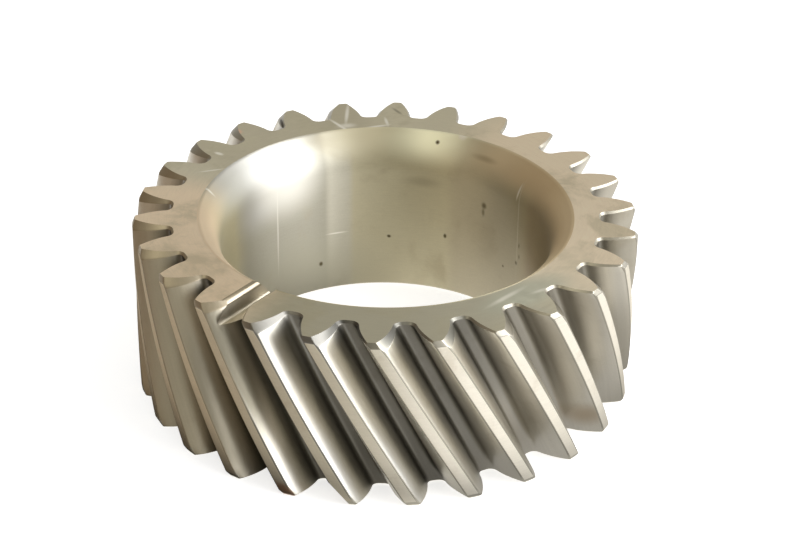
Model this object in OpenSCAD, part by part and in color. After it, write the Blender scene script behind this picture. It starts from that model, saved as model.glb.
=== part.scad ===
// Helical gear wheel: a wide ring with left-hand involute teeth around a smooth bore,
// a conical lead-in at the upper end of the bore and a radial slot across the upper face.
// The bore axis is Z, the lower face lies at z = 0 and the slot runs along -Y.

/* [Teeth] */
// Number of teeth
teeth = 26; // [24:1:60]
// Tooth size: module in the normal plane
normal_module = 4; // [3.75:0.25:8]
// Pressure angle in the normal plane
pressure_angle = 20; // [17.5:0.5:22.5]
// Left-hand helix angle at the pitch circle
helix_angle = 27.5; // [20:0.5:35]
// Height of a tooth above the pitch circle, in modules
addendum_factor = 1; // [0.8:0.05:1.1]
// Depth of a tooth space below the pitch circle, in modules
dedendum_factor = 1.3; // [1.1:0.05:1.4]
// Radius that blends each flank into the root of the tooth space
root_fillet = 1.6; // [0.6:0.1:1.6]

/* [Blank] */
// Height of the wheel along its axis
face_width = 45; // [20:1:100]
// Radial width of the chamfer on the tips of the teeth at both faces
tip_chamfer = 0.7; // [0.3:0.1:1.5]
// Height of the chamfer on the tips of the teeth
tip_chamfer_height = 1.4; // [0.3:0.1:3]

/* [Bore] */
// Diameter of the bore
bore_diameter = 82; // [40:1:90]
// Chamfer of the bore at the lower face
bore_chamfer = 0.5; // [0.2:0.1:1.5]
// Radial width of the conical lead-in at the upper face
lead_in_width = 5.3; // [2:0.1:5.8]
// Depth of the conical lead-in below the upper face
lead_in_depth = 5; // [2:0.1:12]
// Radius of the rounded edge between the lead-in and the upper face
lead_in_rounding = 1.2; // [0.4:0.1:3]
// Radius that blends the lead-in into the bore
lead_in_blend = 4; // [0.5:0.5:5]

/* [Slot] */
// Width of the slot between its walls
slot_width = 5; // [2:0.1:8]
// Depth of the slot below the upper face
slot_depth = 4.8; // [2:0.1:12]
// Bevel along the upper edges of the slot
slot_lip = 1; // [0.2:0.1:1.5]
// Fillet between the walls and the floor of the slot
slot_fillet = 0.8; // [0.3:0.1:0.9]

/* [Tooth ends] */
// Bevel along the root of each tooth space at both faces
root_bevel = 0.7; // [0.2:0.1:0.8]
// Height of the bevel on the blunt edge of each tooth's upper end, at the tip
upper_blunt_bevel = 2; // [0.8:0.1:2.6]
// Height of the bevel on the blunt edge of each tooth's lower end, at the tip
lower_blunt_bevel = 1; // [0.8:0.1:2.6]
// Height of the bevel on the sharp edge of each tooth end, at the tip
sharp_bevel = 0.5; // [0.2:0.1:0.8]
// Width of the broken lower corner of the tooth beside the slot
broken_width = 2; // [1.5:0.1:3.2]
// Height of the broken corner along the tip of the tooth
broken_height = 6.6; // [3:0.1:9]
// Reach of the broken corner towards the root of the tooth
broken_reach = 6.5; // [3:0.1:8]

/* [Hidden] */
$fn = 180;

// Clearance by which a cutting shape runs past the surface that it cuts
overrun = 0.3;
// Points along each flank, steps round each root fillet and steps along the face width
flank_points = 7;
fillet_steps = 3;
helix_steps = 7;
// Steps round the small rounded edges of the slot and the lead-in
edge_steps = 4;

// Radii of the toothing in the plane square to the axis
pitch_r = teeth * normal_module / cos(helix_angle) / 2;
tip_r = pitch_r + addendum_factor * normal_module;
root_r = pitch_r - dedendum_factor * normal_module;
transverse_angle = atan(tan(pressure_angle) / cos(helix_angle));
base_r = pitch_r * cos(transverse_angle);
bore_r = bore_diameter / 2;
lead_in_r = bore_r + lead_in_width;

// Turn of the teeth for each millimetre along the axis, in degrees
twist_rate = tan(helix_angle) / pitch_r * 180 / PI;

// Length of the base tangent to the point where the root fillet meets the flank.
// It is zero where the fillet ends below the base circle, on a radial stretch of flank.
fillet_centre_r = root_r + root_fillet;
tangent_length = max(0, sqrt(max(0, pow(fillet_centre_r, 2) - pow(base_r, 2))) - root_fillet);
outer_tangent_length = sqrt(pow(tip_r + overrun, 2) - pow(base_r, 2));

// Angle that an involute has turned through where its pressure angle is the one given
function involute(angle) = tan(angle) * 180 / PI - angle;

// Half the angle that a tooth takes up where the pressure angle of its flank is the one given
function half_angle(angle) = 90 / teeth + involute(transverse_angle) - involute(angle);

// Point at a distance from the centre, in the direction of an angle
function polar(radius, angle) = radius * [cos(angle), sin(angle)];

// Points of an arc
function arc(centre, radius, start, end, steps) =
    [for (i = [0:steps]) centre + polar(radius, start + (end - start) * i / steps)];

// A skin point of a tooth's outline is [place, direction into the tooth].
// The flank point at the end of a base tangent of the given length:
function flank_point(length) =
    let (angle = atan(length / base_r), foot = half_angle(angle) - angle)
    [polar(base_r, foot) + polar(length, foot + 90), foot - 90];

// Direction from the wheel's axis to the centre of the root fillet, from the middle of the tooth
tangent_angle = atan(tangent_length / base_r);
fillet_lead = tangent_length > 0
    ? atan((tangent_length + root_fillet) / base_r)
    : asin(root_fillet / fillet_centre_r);
fillet_angle = half_angle(tangent_angle) - tangent_angle + fillet_lead;

// The root fillet's point at a share of its sweep, from the flank (0) to the root circle (1)
function fillet_point(share) =
    let (direction = fillet_angle - 90 - fillet_lead - share * (90 - fillet_lead))
    [polar(fillet_centre_r, fillet_angle) + polar(root_fillet, direction), direction];

// One side of a tooth from above its tip down to the root, on the counterclockwise side
left_side = concat(
    [for (i = [0:flank_points - 1])
        flank_point(outer_tangent_length
            + (tangent_length - outer_tangent_length) * i / (flank_points - 1))],
    [for (i = [(tangent_length > 0 ? 1 : 0):fillet_steps]) fillet_point(i / fillet_steps)]);

// The other side, from the root up to the tip
side_points = len(left_side);
right_side = [for (i = [side_points - 1:-1:0])
    [[left_side[i][0].x, -left_side[i][0].y], -left_side[i][1]]];

// Height of an end bevel, growing from the root of the tooth to the stated height at its tip
function bevel_height(place, at_tip) =
    root_bevel + (at_tip - root_bevel) * (norm(place) - root_r) / (tip_r - root_r);

// The whole outline of a tooth: [place, direction, lower bevel height, upper bevel height].
// Because the teeth lean, the edge that is blunt at one face is sharp at the other.
tooth_outline = concat(
    [for (p = right_side)
        [p[0], p[1], bevel_height(p[0], lower_blunt_bevel), bevel_height(p[0], sharp_bevel)]],
    [for (p = left_side)
        [p[0], p[1], bevel_height(p[0], sharp_bevel), bevel_height(p[0], upper_blunt_bevel)]]);

// Direction of the middle of a tooth at a height. A tooth space lies over the slot.
function tooth_angle(index, z) = -90 + (index + 0.5) * 360 / teeth + (face_width - z) * twist_rate;

// A point of the outline, moved into the tooth and turned to its place on the helix
function skin_point(p, index, z, turn_z, inward) =
    let (flat = p[0] + polar(inward, p[1]), angle = tooth_angle(index, turn_z))
    [flat.x * cos(angle) - flat.y * sin(angle), flat.x * sin(angle) + flat.y * cos(angle), z];

// A point of the outline on one level: the first and last levels are the ends of the bevels
last_level = helix_steps + 2;
function level_point(p, index, level) =
    let (low = p[2], high = face_width - p[3])
    level == 0 ? skin_point(p, index, -overrun, low, low + overrun)
    : level == last_level
    ? skin_point(p, index, face_width + overrun, high, p[3] + overrun)
    : let (z = low + (high - low) * (level - 1) / helix_steps) skin_point(p, index, z, z, 0);

// The toothed skin without its bore, a little taller and wider than the blank
module toothed_skin() {
    count = teeth * len(tooth_outline);
    points = [for (level = [0:last_level], index = [0:teeth - 1], p = tooth_outline)
        level_point(p, index, level)];
    walls = [for (level = [0:last_level - 1], i = [0:count - 1])
        let (below = level * count, above = below + count, next = (i + 1) % count)
        each [[below + i, above + i, above + next], [below + i, above + next, below + next]]];
    lower_end = [for (i = [0:count - 1]) i];
    upper_end = [for (i = [count - 1:-1:0]) last_level * count + i];
    polyhedron(points = points, faces = concat([lower_end, upper_end], walls), convexity = 10);
}

// The turned ring that the teeth are cut in
module blank() {
    slope = atan(lead_in_depth / lead_in_width);
    edge_centre = [lead_in_r + lead_in_rounding * tan(slope / 2), face_width - lead_in_rounding];
    blend_centre = [bore_r + lead_in_blend,
        face_width - lead_in_depth - lead_in_blend * tan(45 - slope / 2)];
    rotate_extrude() polygon(concat(
        [[bore_r, bore_chamfer],
         [bore_r + bore_chamfer, 0],
         [tip_r - tip_chamfer, 0],
         [tip_r, tip_chamfer_height],
         [tip_r, face_width - tip_chamfer_height],
         [tip_r - tip_chamfer, face_width]],
        arc(edge_centre, lead_in_rounding, 90, 90 + slope, edge_steps),
        arc(blend_centre, lead_in_blend, 90 + slope, 180, edge_steps)));
}

// The space of the slot, from the axis out past the tips
module slot() {
    half_width = slot_width / 2;
    floor_z = face_width - slot_depth;
    half = concat(
        [[half_width + slot_lip + overrun, face_width + overrun],
         [half_width, face_width - slot_lip]],
        arc([half_width - slot_fillet, floor_z + slot_fillet], slot_fillet, 0, -90, edge_steps));
    other_half = [for (i = [len(half) - 1:-1:0]) [-half[i].x, half[i].y]];
    rotate([90, 0, 0]) linear_extrude(height = tip_r + overrun) polygon(concat(half, other_half));
}

// The missing lower corner of a tooth: a prism outside the plane through three points, one on its
// lower edge at the tip, one up the blunt edge of its tip and one down the foot of that flank
module broken_corner(index) {
    side = half_angle(acos(base_r / tip_r));
    foot_r = max(base_r, tip_r - broken_reach);
    foot_place = polar(foot_r, side - half_angle(acos(base_r / foot_r)));
    lean = tan(helix_angle) * tip_r / pitch_r;
    across = [tip_r, broken_width, 0];
    up = [tip_r, -broken_height * lean, broken_height];
    foot = [foot_place.x, foot_place.y, 0];
    middle = (across + up + foot) / 3;
    spread = 1.8;
    face = [for (p = [across, up, foot]) middle + spread * (p - middle)];
    square = cross(across - foot, up - foot);
    outward = square * broken_reach / 2 / norm(square);
    rotate([0, 0, tooth_angle(index, 0) - side])
        polyhedron(points = concat(face, [for (p = face) p + outward]),
            faces = [[0, 1, 2], [3, 5, 4], [0, 3, 4, 1], [1, 4, 5, 2], [2, 5, 3, 0]]);
}

module gear_wheel() {
    color([0.62, 0.58, 0.49])
    difference() {
        intersection() {
            blank();
            toothed_skin();
        }
        slot();
        broken_corner(0);
    }
}

gear_wheel();
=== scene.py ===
"""A used helical gear wheel: the visible ring and its steel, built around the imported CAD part.

The section of one tooth is worked out from the toothing's own sizes. Geometry Nodes twist it along
the helix, repeat it round the axis, cut the slot and hand each zone of the skin its steel.
"""

import cmath
import logging
import math
from collections.abc import Callable, Sequence
from dataclasses import dataclass, field, replace
from enum import Enum
from functools import cached_property, partial
from typing import Any

import bpy
from mathutils import Matrix, Vector


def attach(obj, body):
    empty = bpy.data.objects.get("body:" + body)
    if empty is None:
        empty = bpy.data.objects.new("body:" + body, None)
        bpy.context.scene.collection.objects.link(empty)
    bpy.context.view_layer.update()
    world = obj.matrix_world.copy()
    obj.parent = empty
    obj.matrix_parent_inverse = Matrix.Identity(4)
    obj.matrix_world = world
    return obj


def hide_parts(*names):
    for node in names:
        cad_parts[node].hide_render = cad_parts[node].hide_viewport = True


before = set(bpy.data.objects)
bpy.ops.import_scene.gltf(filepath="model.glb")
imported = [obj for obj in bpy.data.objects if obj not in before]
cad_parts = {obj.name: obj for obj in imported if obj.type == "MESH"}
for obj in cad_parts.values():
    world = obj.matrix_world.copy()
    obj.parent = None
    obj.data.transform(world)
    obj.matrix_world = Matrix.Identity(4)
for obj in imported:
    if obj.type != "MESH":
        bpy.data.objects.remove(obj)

LOG = logging.getLogger("gear_wheel")
ZONE_ATTRIBUTE = "zone"

# Places of the sockets that the Mix node has for colours and the Compare node for whole numbers
MIX_FIRST, MIX_SECOND, MIX_RESULT = 6, 7, 2
WHOLE_FIRST, WHOLE_SECOND = 2, 3

Colour = tuple[float, float, float]
Point = tuple[float, float, float]
Face = tuple[int, ...]

WHITE = (1.0, 1.0, 1.0, 1.0)
BRIGHT: Colour = (0.97, 0.95, 0.90)
DARK: Colour = (0.06, 0.05, 0.035)
PIT: Colour = (0.12, 0.10, 0.06)
RUST: Colour = (0.42, 0.22, 0.12)


class Zone(Enum):
    """Parts of the wheel's skin that have different finishes. BORE takes in the lead-in."""

    FACE = 0
    BORE = 1
    FLANK = 2
    LAND = 3
    EDGE = 4
    SLOT = 5
    BREAK = 6


def scene_object(name: str, data: bpy.types.ID) -> bpy.types.Object:
    """Put an object with the given mesh, lamp or camera data in the scene."""
    thing = bpy.data.objects.new(name, data)
    bpy.context.scene.collection.objects.link(thing)
    return thing


def arc(centre: tuple[float, float], radius: float, start: float, sweep: float,
        steps: int) -> list[tuple[float, float]]:
    """Return the points of an arc, which goes counterclockwise if its sweep is positive."""
    headings = [start + sweep * i / steps for i in range(steps + 1)]
    return [(centre[0] + radius * math.cos(h), centre[1] + radius * math.sin(h)) for h in headings]


def plain_mesh(name: str, points: Sequence[Point | Vector], faces: Sequence[Face]) -> bpy.types.Mesh:
    """Make a mesh from its corners and the corner numbers of its faces."""
    mesh = bpy.data.meshes.new(name)
    mesh.from_pydata(points, [], faces)
    return mesh


def zoned_mesh(name: str, points: Sequence[Point | Vector], faces: Sequence[Face],
               zones: Sequence[Zone]) -> bpy.types.Mesh:
    """Make a mesh whose faces keep their zones.

    Args:
        name: The mesh's name.
        points: Its corners.
        faces: The corners of each face, by their numbers.
        zones: The zone of each face.

    Returns:
        The mesh, with the zones as a face attribute.
    """
    mesh = plain_mesh(name, points, faces)
    attribute = mesh.attributes.new(ZONE_ATTRIBUTE, "INT", "FACE")
    attribute.data.foreach_set("value", [zone.value for zone in zones])
    return mesh


@dataclass(frozen=True)
class ProfilePoint:
    """A point of a tooth's side in the plane square to the axis.

    Attributes:
        place: Where it is, as a complex number, with the tooth's middle on the real axis.
        inward: The direction into the tooth, of length one.
    """

    place: complex
    inward: complex


@dataclass(frozen=True)
class Toothing:
    """Involute teeth with a left-hand helix."""

    teeth: int = 26
    normal_module: float = 0.004
    pressure_angle: float = math.radians(20)
    helix_angle: float = math.radians(27.5)
    addendum: float = 1.0
    dedendum: float = 1.3
    root_fillet: float = 0.0016
    overrun: float = 1.01

    @property
    def pitch_radius(self) -> float:
        """Radius of the pitch circle."""
        return self.teeth * self.normal_module / math.cos(self.helix_angle) / 2

    @property
    def tip_radius(self) -> float:
        """Radius over the tips of the teeth."""
        return self.pitch_radius + self.addendum * self.normal_module

    @property
    def root_radius(self) -> float:
        """Radius at the bottom of the tooth spaces."""
        return self.pitch_radius - self.dedendum * self.normal_module

    @property
    def transverse_angle(self) -> float:
        """Pressure angle in the plane square to the axis."""
        return math.atan(math.tan(self.pressure_angle) / math.cos(self.helix_angle))

    @property
    def base_radius(self) -> float:
        """Radius of the circle that the flanks unroll from."""
        return self.pitch_radius * math.cos(self.transverse_angle)

    @property
    def turn_per_metre(self) -> float:
        """How far the teeth turn for each metre along the axis, in radians."""
        return math.tan(self.helix_angle) / self.pitch_radius

    @property
    def tooth_step(self) -> float:
        """Angle from one tooth to the next."""
        return 2 * math.pi / self.teeth

    @property
    def first_tooth(self) -> float:
        """Direction of the first tooth at the upper face, with a tooth space over the slot at -Y."""
        return -math.pi / 2 + self.tooth_step / 2

    @property
    def fillet_centre_radius(self) -> float:
        """Distance of a root fillet's centre from the axis."""
        return self.root_radius + self.root_fillet

    @property
    def fillet_tangent(self) -> float:
        """Length of the base tangent to the point where the root fillet meets the flank."""
        return math.sqrt(self.fillet_centre_radius**2 - self.base_radius**2) - self.root_fillet

    @property
    def outer_tangent(self) -> float:
        """Length of the base tangent to a point of the flank just outside the tips."""
        return math.sqrt((self.tip_radius * self.overrun) ** 2 - self.base_radius**2)

    def half_angle(self, angle: float) -> float:
        """Work out half the angle that a tooth takes up.

        Args:
            angle: The flank's pressure angle at the radius in question.

        Returns:
            Half the tooth's angle there, in radians.
        """
        turned = math.tan(angle) - angle
        turned_at_pitch = math.tan(self.transverse_angle) - self.transverse_angle
        return self.tooth_step / 4 + turned_at_pitch - turned

    def flank_point(self, tangent: float) -> ProfilePoint:
        """Find the flank's point at the end of a base tangent.

        Args:
            tangent: Length of the tangent from the base circle to the point.

        Returns:
            The point on the counterclockwise side of the tooth.
        """
        angle = math.atan(tangent / self.base_radius)
        foot = self.half_angle(angle) - angle
        place = cmath.rect(self.base_radius, foot) + cmath.rect(tangent, foot + math.pi / 2)
        return ProfilePoint(place, cmath.rect(1, foot - math.pi / 2))

    def fillet_point(self, share: float) -> ProfilePoint:
        """Find a point of the root fillet.

        Args:
            share: How far along its sweep, from the flank at 0 to the root circle at 1.

        Returns:
            The point on the counterclockwise side of the tooth.
        """
        angle = math.atan(self.fillet_tangent / self.base_radius)
        lead = math.atan((self.fillet_tangent + self.root_fillet) / self.base_radius)
        centre_angle = self.half_angle(angle) - angle + lead
        heading = centre_angle - math.pi / 2 - lead - share * (math.pi / 2 - lead)
        inward = cmath.rect(1, heading)
        place = cmath.rect(self.fillet_centre_radius, centre_angle) + self.root_fillet * inward
        return ProfilePoint(place, inward)

    def root_point(self) -> ProfilePoint:
        """Return the middle of the tooth space, on the root circle."""
        direction = cmath.rect(1, self.tooth_step / 2)
        return ProfilePoint(self.root_radius * direction, -direction)


@dataclass(frozen=True)
class Blank:
    """The turned ring that carries the teeth."""

    face_width: float = 0.045
    tip_chamfer: float = 0.0007
    tip_chamfer_height: float = 0.0014
    bore_radius: float = 0.041
    bore_chamfer: float = 0.0005
    lead_in_width: float = 0.0053
    lead_in_depth: float = 0.005
    lead_in_rounding: float = 0.0012
    lead_in_blend: float = 0.011

    @property
    def lead_in_slope(self) -> float:
        """Angle of the lead-in below the upper face."""
        return math.atan(self.lead_in_depth / self.lead_in_width)

    @property
    def lead_in_edge(self) -> float:
        """Radius where the upper face starts to round over into the lead-in."""
        rounding = self.lead_in_rounding * math.tan(self.lead_in_slope / 2)
        return self.bore_radius + self.lead_in_width + rounding


@dataclass(frozen=True)
class ToothEnds:
    """Bevels at the ends of the teeth. The blunt and the sharp edge change places between the faces."""

    root_bevel: float = 0.00055
    upper_blunt_bevel: float = 0.002
    lower_blunt_bevel: float = 0.001
    sharp_bevel: float = 0.0004
    edge_rounding: float = 0.00025
    tip_relief: float = 0.00022
    relief_depth: float = 0.0036

    def at_tip(self, side: int) -> tuple[float, float]:
        """Return the heights of the lower and the upper bevel at the tip of a tooth, on side 1 or -1."""
        if side > 0:
            return self.sharp_bevel, self.upper_blunt_bevel
        return self.lower_blunt_bevel, self.sharp_bevel


@dataclass(frozen=True)
class Column:
    """One line of the tooth's outline, followed from the lower face to the upper one.

    Attributes:
        place: Where the line is at a height, in the frame that turns with the tooth.
        low_edge: Height of the bevel or chamfer at its lower end.
        high_edge: Height of the bevel or chamfer at its upper end.
        zone: Zone of the strip between this line and the next.
    """

    place: Callable[[float], complex]
    low_edge: float
    high_edge: float
    zone: Zone


@dataclass(frozen=True)
class SectionSteps:
    """How finely the tooth's section is divided.

    The shares place the rows over a bevel at the end of the teeth, over a flat face, down the cone
    of the lead-in and down the bore, each as shares of its length. The extra rows at the distance
    of hold keep an edge's shading in place, and halvings is how often the search for the end of a
    flank halves its interval.
    """

    flank: int = 11
    fillet: int = 5
    corner: int = 3
    land: int = 3
    length: int = 18
    lead_in: int = 6
    hold: float = 0.00012
    halvings: int = 24
    end_shares: tuple[float, ...] = (0.0, 0.2, 0.4, 0.6, 0.8)
    face_shares: tuple[float, ...] = (0.03, 0.4, 0.8)
    cone_shares: tuple[float, ...] = (0.08, 0.5, 0.94)
    bore_shares: tuple[float, ...] = (0.005, 0.25, 0.5, 0.75, 0.995)


class ToothSection:
    """The skin of one tooth's share of the ring, as a closed band of quads."""

    def __init__(self, toothing: Toothing, blank: Blank, ends: ToothEnds, steps: SectionSteps) -> None:
        """Keep the sizes.

        Args:
            toothing: The involute toothing.
            blank: The turned ring.
            ends: The bevels at the ends of the teeth.
            steps: How finely to divide the section.
        """
        self.toothing = toothing
        self.blank = blank
        self.ends = ends
        self.steps = steps

    def bevel_height(self, radius: float, at_tip: float) -> float:
        """Grow an end bevel from the root of the tooth to its tip.

        Args:
            radius: Distance from the axis.
            at_tip: The bevel's height at the tip.

        Returns:
            The bevel's height at the radius.
        """
        depth = self.toothing.tip_radius - self.toothing.root_radius
        share = (radius - self.toothing.root_radius) / depth
        return self.ends.root_bevel + (at_tip - self.ends.root_bevel) * share

    def tip_limit(self, z: float) -> float:
        """Return the outer radius of the blank at a height."""
        from_face = min(z, self.blank.face_width - z)
        share = max(0.0, 1 - from_face / self.blank.tip_chamfer_height)
        return self.toothing.tip_radius - self.blank.tip_chamfer * share

    def bevelled(self, point: ProfilePoint, side: int, z: float) -> complex:
        """Move a point of the outline inwards where an end bevel cuts it.

        Args:
            point: The point on the counterclockwise side.
            side: 1 for the counterclockwise side of the tooth, -1 for the other.
            z: Height above the lower face.

        Returns:
            Where the point lies at that height, in the frame that turns with the tooth.
        """
        radius = abs(point.place)
        relief_start = self.toothing.tip_radius - self.ends.relief_depth
        relief = max(0.0, (radius - relief_start) / self.ends.relief_depth) ** 2 * self.ends.tip_relief
        low_tip, high_tip = self.ends.at_tip(side)
        low_cut = self.bevel_height(radius, low_tip) - z
        high_cut = self.bevel_height(radius, high_tip) - (self.blank.face_width - z)
        cut = max(0.0, low_cut, high_cut)
        turn = cut * self.toothing.turn_per_metre * (1 if high_cut > low_cut else -1)
        moved = point.place + (cut + (relief if side > 0 else 0.0)) * point.inward
        if side < 0:
            moved = moved.conjugate()
        return moved * cmath.rect(1, turn)

    def flank_end(self, side: int, z: float) -> float:
        """Find where the flank meets the blank's outer surface, by halving the interval.

        Args:
            side: 1 for the counterclockwise side of the tooth, -1 for the other.
            z: Height above the lower face.

        Returns:
            Length of the base tangent to that point.
        """
        low, high = self.toothing.fillet_tangent, self.toothing.outer_tangent
        for _ in range(self.steps.halvings):
            middle = (low + high) / 2
            if abs(self.bevelled(self.toothing.flank_point(middle), side, z)) < self.tip_limit(z):
                low = middle
            else:
                high = middle
        return low

    def corner(self, side: int, z: float) -> tuple[complex, complex, complex, float]:
        """Lay out the rounded edge between a flank and the tip of the tooth.

        Args:
            side: 1 for the counterclockwise side of the tooth, -1 for the other.
            z: Height above the lower face.

        Returns:
            The rounding's start on the flank, the edge itself, the rounding's end on the tip,
            and the length of the base tangent at its start.
        """
        tangent = self.flank_end(side, z)
        edge = self.bevelled(self.toothing.flank_point(tangent), side, z)
        start_tangent = tangent - self.ends.edge_rounding * self.toothing.base_radius / tangent
        start = self.bevelled(self.toothing.flank_point(start_tangent), side, z)
        end = edge * cmath.rect(1, -side * self.ends.edge_rounding / abs(edge))
        return start, edge, end, start_tangent

    def edge_heights(self, radius: float, side: int) -> tuple[float, float]:
        """Return the heights of the lower and the upper bevel at a radius, on side 1 or -1."""
        low_tip, high_tip = self.ends.at_tip(side)
        return self.bevel_height(radius, low_tip), self.bevel_height(radius, high_tip)

    def fixed_column(self, point: ProfilePoint, side: int) -> Column:
        """Return the line through one point of the root or its fillet."""
        low, high = self.edge_heights(abs(point.place), side)
        return Column(partial(self.bevelled, point, side), low, high, Zone.FLANK)

    def flank_place(self, share: float, side: int, z: float) -> complex:
        """Return a flank's place at a share of the way up from the fillet."""
        start, end = self.toothing.fillet_tangent, self.corner(side, z)[3]
        return self.bevelled(self.toothing.flank_point(start + share * (end - start)), side, z)

    def flank_column(self, share: float, side: int) -> Column:
        """Return the line along a flank at a share of the way up."""
        place = partial(self.flank_place, share, side)
        low, high = self.edge_heights(abs(place(self.blank.face_width / 2)), side)
        return Column(place, low, high, Zone.FLANK)

    def corner_place(self, share: float, side: int, z: float) -> complex:
        """Return a place on a tip's rounded edge, from the flank at 0 to the tip at 1."""
        start, edge, end, _ = self.corner(side, z)
        return (1 - share) ** 2 * start + 2 * share * (1 - share) * edge + share**2 * end

    def corner_column(self, share: float, side: int) -> Column:
        """Lay a line along the rounded edge between a flank and the tip.

        Args:
            share: How far round the edge it lies, from 0 on the flank to 1 on the tip.
            side: 1 for the counterclockwise side of the tooth, -1 for the other.

        Returns:
            The line.
        """
        chamfer = self.blank.tip_chamfer_height
        low, high = self.edge_heights(self.toothing.tip_radius, side)
        low, high = low + share * (chamfer - low), high + share * (chamfer - high)
        return Column(partial(self.corner_place, share, side), low, high, Zone.EDGE)

    def land_place(self, share: float, z: float) -> complex:
        """Return a place on the tip at a share of the way across, counterclockwise."""
        right, left = (cmath.phase(self.corner(side, z)[2]) for side in (-1, 1))
        return cmath.rect(self.tip_limit(z), right + share * (left - right))

    def columns(self) -> list[Column]:
        """List the lines of the tooth's outline.

        Returns:
            The lines, counterclockwise from the middle of one tooth space to the next.
        """
        toothing, steps = self.toothing, self.steps
        chamfer = self.blank.tip_chamfer_height
        sides = {}
        for side in (-1, 1):
            root = self.fixed_column(toothing.root_point(), side)
            fillet = [self.fixed_column(toothing.fillet_point(i / steps.fillet), side)
                      for i in range(steps.fillet, 0, -1)]
            flank = [self.flank_column(i / steps.flank, side) for i in range(steps.flank + 1)]
            corner = [self.corner_column(i / steps.corner, side) for i in range(1, steps.corner + 1)]
            sides[side] = [root, *fillet, *flank, *corner]
        land = [Column(partial(self.land_place, i / steps.land), chamfer, chamfer, Zone.LAND)
                for i in range(1, steps.land)]
        rising, falling = sides[-1], sides[1][::-1]
        rising[-1] = replace(rising[-1], zone=Zone.LAND)
        flank_end = len(rising) - 1 - steps.corner
        rising[flank_end] = replace(rising[flank_end], zone=Zone.EDGE)
        return [*rising, *land, *falling]

    def ring_rows(self) -> list[tuple[float, float, Zone]]:
        """List the rows of the turned surfaces, from the upper face round to the lower one.

        Returns:
            Radius, height and zone of the strip that follows, for each row.
        """
        blank, steps = self.blank, self.steps
        top, slope, corner = blank.face_width, blank.lead_in_slope, math.pi / 2
        centre = (blank.lead_in_edge, top - blank.lead_in_rounding)
        rounding = arc(centre, blank.lead_in_rounding, corner, slope, steps.lead_in)
        drop = blank.lead_in_blend * math.tan((corner - slope) / 2)
        centre = (blank.bore_radius + blank.lead_in_blend, top - blank.lead_in_depth - drop)
        blend = arc(centre, blank.lead_in_blend, corner + slope, corner - slope, steps.lead_in)
        start, end = rounding[-1], blend[0]
        cone = [(start[0] + share * (end[0] - start[0]), start[1] + share * (end[1] - start[1]))
                for share in steps.cone_shares]
        length = centre[1] - blank.bore_chamfer
        bore = [(blank.bore_radius, centre[1] - share * length) for share in steps.bore_shares]
        foot = blank.bore_radius + blank.bore_chamfer
        return [(blank.lead_in_edge + steps.hold, top, Zone.FACE),
                *((radius, z, Zone.BORE) for radius, z in [*rounding, *cone, *blend, *bore]),
                (blank.bore_radius, blank.bore_chamfer, Zone.EDGE),
                (foot, 0.0, Zone.FACE),
                (foot + steps.hold, 0.0, Zone.FACE)]

    def outline_row(self, columns: list[Column], heights: list[float]) -> list[Point]:
        """Return the row of points with a height on each line of the outline."""
        places = [column.place(z) for column, z in zip(columns, heights)]
        return [(place.real, place.imag, z) for place, z in zip(places, heights)]

    def face_row(self, outline: list[complex], radius: float, z: float, share: float) -> list[Point]:
        """Return the row at a share of the way across a flat face, from the teeth to a radius."""
        places = [p + (cmath.rect(radius, cmath.phase(p)) - p) * share for p in outline]
        return [(p.real, p.imag, z) for p in places]

    def rows(self, columns: list[Column]) -> list[tuple[list[Point], Zone | None]]:
        """List the band's rows, up the teeth, across the upper face, down the bore and back.

        Args:
            columns: The lines of the tooth's outline.

        Returns:
            For each row its points and the zone of the strip that follows, or None where the
            zone is the line's own.
        """
        top, steps = self.blank.face_width, self.steps
        hold = steps.hold / top
        body_shares = [0.0, hold, *(i / steps.length for i in range(1, steps.length)), 1 - hold, 1.0]
        lines = [(self.outline_row(columns, [c.low_edge * share for c in columns]), Zone.EDGE)
                 for share in steps.end_shares]
        for share in body_shares:
            heights = [c.low_edge + (top - c.low_edge - c.high_edge) * share for c in columns]
            lines.append((self.outline_row(columns, heights), Zone.EDGE if share == 1.0 else None))
        for share in reversed(steps.end_shares):
            heights = [top - c.high_edge * share for c in columns]
            lines.append((self.outline_row(columns, heights), Zone.EDGE if share > 0 else Zone.FACE))
        upper, lower = ([complex(x, y) for x, y, _ in lines[i][0]] for i in (-1, 0))
        ring = self.ring_rows()
        lines += [(self.face_row(upper, ring[0][0], top, share), Zone.FACE) for share in steps.face_shares]
        turns = [(cmath.phase(high), cmath.phase(low)) for high, low in zip(upper, lower)]
        for radius, z, zone in ring:
            depth = 1 - z / top
            places = [cmath.rect(radius, high + depth * (low - high)) for high, low in turns]
            lines.append(([(p.real, p.imag, z) for p in places], zone))
        lines += [(self.face_row(lower, ring[-1][0], 0.0, share), Zone.FACE)
                  for share in reversed(steps.face_shares)]
        return lines

    def mesh(self) -> bpy.types.Mesh:
        """Build the band of quads, with its zones kept as a face attribute.

        Returns:
            The mesh of one tooth's share of the ring, with straight teeth.
        """
        columns = self.columns()
        rows = self.rows(columns)
        width = len(columns)
        points = [point for line, _ in rows for point in line]
        faces, zones = [], []
        for r, (_, zone) in enumerate(rows):
            above = (r + 1) % len(rows)
            for c in range(width - 1):
                faces.append((r * width + c, r * width + c + 1, above * width + c + 1, above * width + c))
                zones.append(zone or columns[c].zone)
        return zoned_mesh("tooth_section", points, faces, zones)


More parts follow.
